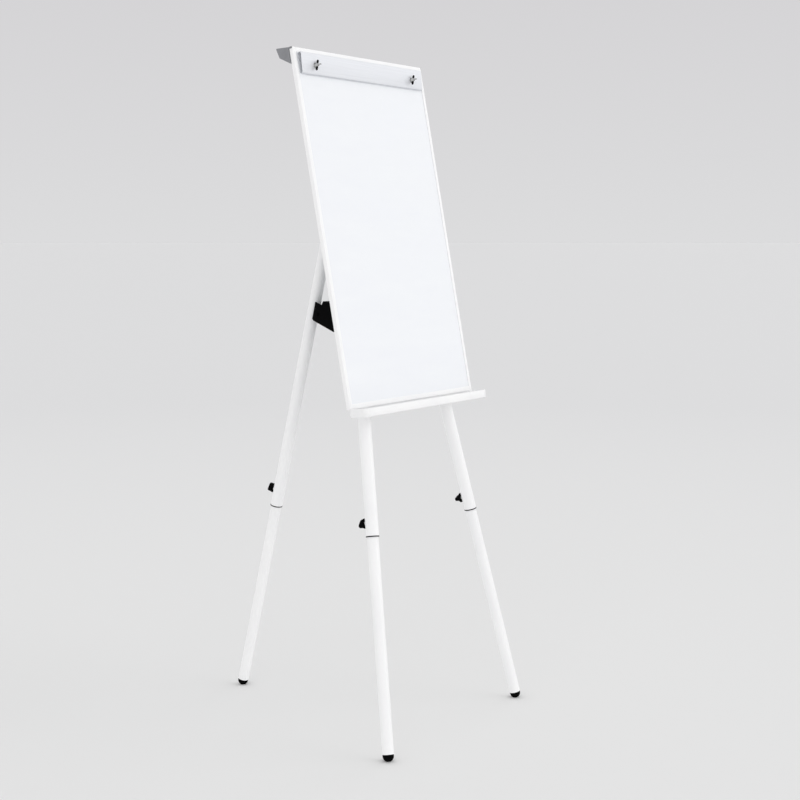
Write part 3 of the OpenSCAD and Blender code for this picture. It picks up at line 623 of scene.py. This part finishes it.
# The stay's pin, down and out from the leg, and the bar that its hook lies on
stay_down, pin_out, catch_n, catch_r = 700, 30, 6, 5
below = stay_down - rear_drop
stay_len = (rear_n + below * math.sin(rear_open) - pin_out * math.cos(rear_open) - catch_n) \
    / math.cos(rear_open)
catch_u = rear_u - below * math.cos(rear_open) - (pin_out + stay_len) * math.sin(rear_open)
cheek_x, cheek_t = upper_r + 1.5, 3
catch_x = cheek_x + cheek_t + 2.5 + ear_half
catch = [corner_plate(0, catch_u, 90, 60, 8), *ears(catch_x, catch_n, catch_u, 11)]
build("catch_stamping", catch, on_board, white_coat, "board", "stay_catch")

# %% Leg guides
guide_t, guide_half, guide_u = 2.5, 12.5, board_u + 32.5
guide_in = hub_half - upper_r - 2
guide_out = hub_half + (hub_u - guide_u + guide_half) * math.tan(splay) \
    + upper_r / math.cos(splay) + 0.4


def leg_guide(side):
    """A strap bent round the front leg: the bent sheet's section runs in (x, n), carried up u."""
    mid, foot_w = guide_t / 2, 21.2
    inner, outer, low, high = guide_in - mid, guide_out + mid, sheet_n + mid, upper_r + 1 + mid
    corners = [(inner - foot_w, low), (inner, low), (inner, high), (outer, high), (outer, low),
        (outer + foot_w, low)]
    path = rounded(corners, [0, 2.5, 3, 3, 2.5, 0], closed=False)
    g = prism(sheet(path, guide_t), guide_u - guide_half, guide_u + guide_half, 0, (0, 1, 2))
    return g * [side, 1, 1]


build("guide_straps", [leg_guide(-1), leg_guide(1)], on_board, white_coat, "board", "leg_guides")

# %% [markdown]
# ## Screws
# Pan-head screws hold everything to the board. A head is a low dome, and its cross recess is just
# a dent in the dome's height: deep where the point lies close to one of two crossing lines and
# near the middle. One grid in radius and angle makes the head, and it is copied to every screw.

# %% Pan heads with a cross recess
# Each screw is listed as (x, height u, depth n of the face that it sits on)
guide_x = (guide_in - guide_t - 10, guide_out + guide_t + 10)
screws = [(x, hub_u + v, hub_front) for x in (-40, 40) for v in (-52, 22)]
screws += [(s * 99, hub_u + 22, hub_front) for s in (-1, 1)]
screws += [(x, catch_u + v, hub_front) for x in (-38, 38) for v in (-22, 22)]
screws += [(s * x, guide_u, sheet_n + guide_t) for s in (-1, 1) for x in guide_x]
screws += [(i * 150, board_top - 9.5, back_n + 1.6) for i in range(-2, 3)]
screws += [(i * 150, board_u + 9.5, back_n + 2) for i in range(-2, 3)]


def pan_head():
    """A low dome: head_h times the root of 1 - (r / 4.6)^4. The recess is a cross of four arms
    whose walls fade out over half a millimetre."""
    head_r, head_h, rim_h, recess = 4.5, 2.5, 0.9, 1.4
    r = np.array([head_r, head_r, 4.3, 3.9, 3.4, 2.9, 2.6, 2.3, 1.9, 1.5, 1.1, 0.75, 0.4, 0.0])
    r = r[:, None]
    a = np.linspace(0, 2 * math.pi, 48, endpoint=False)[None, :]
    x, z = r * np.cos(a), r * np.sin(a)
    dome = head_h * np.sqrt(np.clip(1 - (r / 4.6) ** 4, 0, 1))
    near = np.clip((0.95 - np.minimum(np.abs(x), np.abs(z))) / 0.6, 0, 1)
    dent = recess * near * np.clip((2.8 - r) / 0.5, 0, 1)
    y = np.where(r >= head_r, dome * 0, dome - dent)
    y[1] = rim_h
    return np.stack([x, y, z], -1)


head = pan_head()
grids = [shift(head, x, n, u) for x, u, n in screws]
build("pan_head_screws", grids, on_board, zinc, "board", "board_screws")

# %% [markdown]
# ## Clamp knobs
# Each leg locks with a small black knob: a round flange against the tube and a flat grip for two
# fingers. The outline of a slice is a circle at the flange and a rounded bar at the grip. A
# superellipse covers both, so the knob is a single surface whose outline changes with the height.

# %% Knobs
# The black ring's height on the leg, the front knobs' height above it, and a knob's near face
ring_z, knob_up, knob_base = -1349, 38, upper_r + 2.5


def knob(turn):
    """Radius in direction a at height t: a mix of a fluted circle and of the superellipse
    (|cos a|^4 + |sin a / 0.4|^4)^(-1/4), by a smooth step over the shoulder."""
    a = np.linspace(0, 2 * math.pi, 72, endpoint=False)[None, :]
    t, size = np.array([(0, 0), (0, 14.2), (0.8, 15), (4.6, 15), (5.6, 14.6), (6.0, 13.6),
        (6.3, 14), (7.2, 14), (8.4, 14), (10, 13.9), (14, 13.7), (17, 13.4), (18.6, 12.8),
        (19.6, 11.6), (20, 9.4), (20, 0)]).T[:, :, None]
    step = np.clip((t - 5.6) / 2.6, 0, 1)
    step = step * step * (3 - 2 * step)
    bar = (np.abs(np.cos(a)) ** 4 + np.abs(np.sin(a) / 0.4) ** 4) ** -0.25
    flutes = 1 - 0.018 * (1 - step) * (1 + np.cos(24 * a))
    r = size * ((1 - step) * flutes + step * bar)
    b = a + math.radians(turn)
    return np.stack([r * np.sin(b), knob_base + t + 0 * a, r * np.cos(b)], -1)


screw = revolve([(0, lower_r + 0.4), (3.4, lower_r + 0.4), (4, lower_r + 1), (4, knob_base + 1),
    (0, knob_base + 1)], 32)
for name, turn, rise in (("left", 35, 0), ("right", 75, 0), ("rear", 20, 12)):
    grids = [shift(g, z=ring_z + knob_up + rise) for g in (knob(turn), screw)]
    build("knob_moulding_" + name, grids, legs[name], black_nylon, name + "_knob", name + "_knob")

# %% [markdown]
# ## Feet
# The feet are moulded rubber plugs. A turned profile gives the round end, two small grooves and a
# lip against the tube. The floor has flattened the end, and clipping the height at zero does that.

# %% Rubber feet
def foot(length, place):
    """A half circle below, a grooved collar above, turned about the leg, and cut at the floor."""
    ball = arc(0, 0, foot_r, -math.pi / 2, 0, 20)
    groove_r, top = 15.9, 29.5
    collar = [(foot_r, 0.8), (groove_r, 1.2), (foot_r, 1.6), (foot_r, 2.6), (groove_r, 3.0),
        (foot_r, 3.4), (foot_r, 4.5), (groove_r, 4.5), (groove_r, top), (0, top)]
    g = revolve(np.concatenate([ball, collar]), 56, axis=2)

    def on_floor(p):
        q = place(p - np.array([0, 0, length]))
        q[:, 2] = np.maximum(q[:, 2], 0)
        return q
    return g, on_floor


for name in legs:
    g, on_floor = foot(rear_len if name == "rear" else leg_len, legs[name])
    build("foot_moulding_" + name, [g], on_floor, rubber, name + "_lower", name + "_foot")

# %% [markdown]
# ## The stay
# A black steel stay holds the rear leg open. It turns on a pin in front of the leg and hooks over
# a bar on the board. It is two stamped cheeks, a bent strip that joins them on top, and a block at
# the hook. A moulded knuckle carries the pin. All the outlines lie in the plane in which the leg
# folds.

# %% Stay arm and knuckle
tip, tip_r = pin_out + stay_len, catch_r + 5.5
slot_r, slot_lean = catch_r + 0.4, math.radians(38)


def leg_side(points):
    """Outline points given as (distance in front of the leg, height) in the leg's own (y, z)."""
    return np.array([(-d, h - stay_down) for d, h in points])


def slot_wall(side, v):
    """A point on a wall of the hook's leaning slot, at a distance v from the slot's round end."""
    return (tip + side * slot_r * math.cos(slot_lean) - v * math.sin(slot_lean),
        v * math.cos(slot_lean) + side * slot_r * math.sin(slot_lean))


saddle = arc(tip, 0, slot_r, math.pi + slot_lean, 2 * math.pi + slot_lean, 13)[1:-1]
nose = arc(tip, 0, tip_r, math.radians(75), -math.pi / 2, 15)
hook = [(tip - slot_r * math.cos(slot_lean) - 8.6, 10.6), slot_wall(-1, 0), *saddle.tolist(),
    slot_wall(1, 0), slot_wall(1, 6.5), *nose.tolist()]
top_line = [(16, 37), (42, 33), (45, 46), (72, 49), (92, 15)]
under_line = [(132, -16), (107, -37), (20, -22)]
radii = [2, 3, 3, 5, 14, 1.2] + [0] * (len(hook) - 1) + [20, 6, 4]
cheek = rounded(leg_side(top_line + hook + under_line), radii)
strip = rounded(leg_side([(45, 44.5), (71.5, 47.5), (91.5, 13.5), (tip - 22, 9.5)]),
    [0, 6, 14, 0], closed=False)
block = leg_side([(tip - 31, 10), *hook, (tip - 31, -tip_r)])
grids = pair(cheek, cheek_x, cheek_x + cheek_t, 0.5)
grids += [prism(outline, -cheek_x - 1, cheek_x + 1) for outline in (sheet(strip, 3), block)]
build("stay_fabrication", grids, on_rear_leg, black_coat, "stay", "stay_arm")

# %% Knuckle
# Its back is let into the wall of the upper tube and stops short of the lower tube, which slides
# inside. Two ribs reach round the upper tube's sides.
base = lower_r + 0.6
lug = arc(pin_out, 0, 9, -math.pi / 2, math.pi / 2, 13).tolist()
profile = [(base, -22), (26, -22), (26, -12), *lug, (26, 12), (26, 22), (base, 22)]
radii = [0, 4, 3] + [0] * len(lug) + [3, 4, 0]
rib = leg_side([(12.2, -21), (18.6, -21), (18.6, 21), (12.2, 21)])
grids = [prism(rounded(leg_side(profile), radii), -17, 17, 1.2), *pair(rib, 12.8, 16.4)]
build("knuckle_moulding", grids, on_rear_leg, black_nylon, "rear_leg", "stay_knuckle")

# %% [markdown]
# ## Painting the CAD pieces
# Tubes, bolts and pins are already the right shape, so they keep their CAD meshes and only get a
# finish. One table says which finish each kind of piece has.

# %% Finishes for the CAD pieces
by_slot = {"white_paint": white_coat, "white_enamel": enamel, "core_board": fibreboard,
    "zinc_sheet": galvanised, "tray_white": white_coat, "cap_plastic": white_abs,
    "rail_grey": grey_coat, "grey_plastic": grey_abs, "zinc_steel": zinc, "chrome": nickel,
    "silver_anodised": anodised, "black_plastic": black_nylon, "black_rubber": rubber,
    "black_steel": black_coat}
for name, obj in frame["nodes"].items():
    for i in range(max(1, len(obj.material_slots))):
        if not obj.material_slots:
            obj.data.materials.append(by_slot[slot_of[name]])
        obj.material_slots[i].material = by_slot[slot_of[name]]
print("painted", len(frame["nodes"]), "CAD pieces")

# %% [markdown]
# ## Floor and light
# A pale studio: a wide plain floor, and a world that shows nearly the same pale grey wherever the
# camera or a reflection looks past it. Suns light evenly at any distance, so the floor meets the
# world in one tone. The floor's colour gets a touch darker in the distance: that is painted shade
# for light falling off far from the lamps, not a change in the paint. A soft key from the front
# right, a fill from the left and a side light that reaches behind the board leave only faint
# shadows at the feet.

# %% Floor
def disc(radius, count=64):
    """A flat round floor: one fan of triangles about its middle."""
    a = np.linspace(0, 2 * math.pi, count, endpoint=False)
    ring = np.stack([radius * np.cos(a), radius * np.sin(a), 0 * a], -1)
    verts = np.concatenate([[(0, 0, 0)], ring])
    j = np.arange(count)
    return verts, np.stack([0 * j, j + 1, (j + 1) % count + 1], -1)


floor_r = 400
verts, faces = disc(floor_r)
mesh = bpy.data.meshes.new("studio_floor")
mesh.from_pydata(verts.tolist(), [], faces.tolist())
floor = bpy.data.objects.new("studio_floor", mesh)
bpy.context.scene.collection.objects.link(floor)
paint, tree, shader, place = finish("matt_pale_grey_floor_paint", "#E7E7E7", 0.9,
    **{"Specular IOR Level": 0.1})
# Painted shade: the floor's colour darkens from #E7E7E7 near the middle to #DFDFE0 nine metres
# away, standing in for light falling off in the distance
away = add(tree, "ShaderNodeVectorMath", {0: place}, operation="LENGTH").outputs["Value"]
away = add(tree, "ShaderNodeMapRange",
    {"Value": away, "From Min": 0.5, "From Max": 9.0}).outputs["Result"]
tree.links.new(blend_colours(tree, away, "#E7E7E7", "#DFDFE0"), shader.inputs["Base Color"])
mesh.materials.append(paint)
print("floor is", 2 * floor_r, "m wide")

# %% World and suns
world = bpy.data.worlds.new("pale_studio")
bpy.context.scene.world = world
world.use_nodes = True
tree = world.node_tree
tree.nodes.clear()
seen = add(tree, "ShaderNodeLightPath").outputs
shown = add(tree, "ShaderNodeMath", {0: seen["Is Camera Ray"], 1: seen["Is Glossy Ray"]},
    operation="MAXIMUM")
shown = add(tree, "ShaderNodeMath", {0: shown.outputs[0], 1: seen["Is Transmission Ray"]},
    operation="MAXIMUM")
# The white ambient light falls on the scene, and the grey backdrop is what is seen
ambient = add(tree, "ShaderNodeBackground", {"Color": (1, 1, 1, 1), "Strength": 0.86})
towards = add(tree, "ShaderNodeTexCoord").outputs["Generated"]
towards = add(tree, "ShaderNodeSeparateXYZ", {0: towards}).outputs["Z"]
up = add(tree, "ShaderNodeMapRange",
    {"Value": towards, "From Min": 0.0, "From Max": 0.15}).outputs["Result"]
sky = blend_colours(tree, up, "#DCDCDD", "#D5D4D6")
backdrop = add(tree, "ShaderNodeBackground", {"Color": sky, "Strength": 1.0})
mix = add(tree, "ShaderNodeMixShader", {0: shown.outputs[0], 1: ambient.outputs[0],
    2: backdrop.outputs[0]})
add(tree, "ShaderNodeOutputWorld", {"Surface": mix.outputs[0]})


def sun(name, towards, strength, angle):
    """A sun that shines from a direction, with the angle that it fills in the sky, in degrees."""
    data = bpy.data.lights.new(name, "SUN")
    data.energy, data.angle = strength, math.radians(angle)
    lamp = bpy.data.objects.new(name, data)
    lamp.rotation_euler = Vector(towards).to_track_quat("Z", "Y").to_euler()
    bpy.context.scene.collection.objects.link(lamp)


sun("key_softbox", (0.45, -1.0, 0.5), 0.46, 45)
sun("fill_softbox", (-1.0, -0.3, 0.1), 0.46, 60)
sun("side_softbox", (1.0, -0.1, 0.25), 0.4, 40)
print("key from the front right, fill from the left, side light from the right")

# %% [markdown]
# ## Camera
# The photograph was taken from the left of the board, a little below its middle, from nearly five
# metres away. The place, the turn and the lens come from matching the board's corners and feet.

# %% Camera
yaw, pitch = math.radians(56.66), math.radians(-6.02)
data = bpy.data.cameras.new("camera")
data.lens, data.sensor_width = 69.59, 36
camera = bpy.data.objects.new("camera", data)
camera.location = (-3.9205, -2.7909, 1.4845)
level = math.cos(pitch)
look = Vector((math.sin(yaw) * level, math.cos(yaw) * level, math.sin(pitch)))
camera.rotation_euler = look.to_track_quat("-Z", "Y").to_euler()
bpy.context.scene.collection.objects.link(camera)
bpy.context.scene.camera = camera
bpy.context.scene.view_settings.view_transform = "Standard"
print("camera is", round(camera.location.length, 2), "m from the origin")
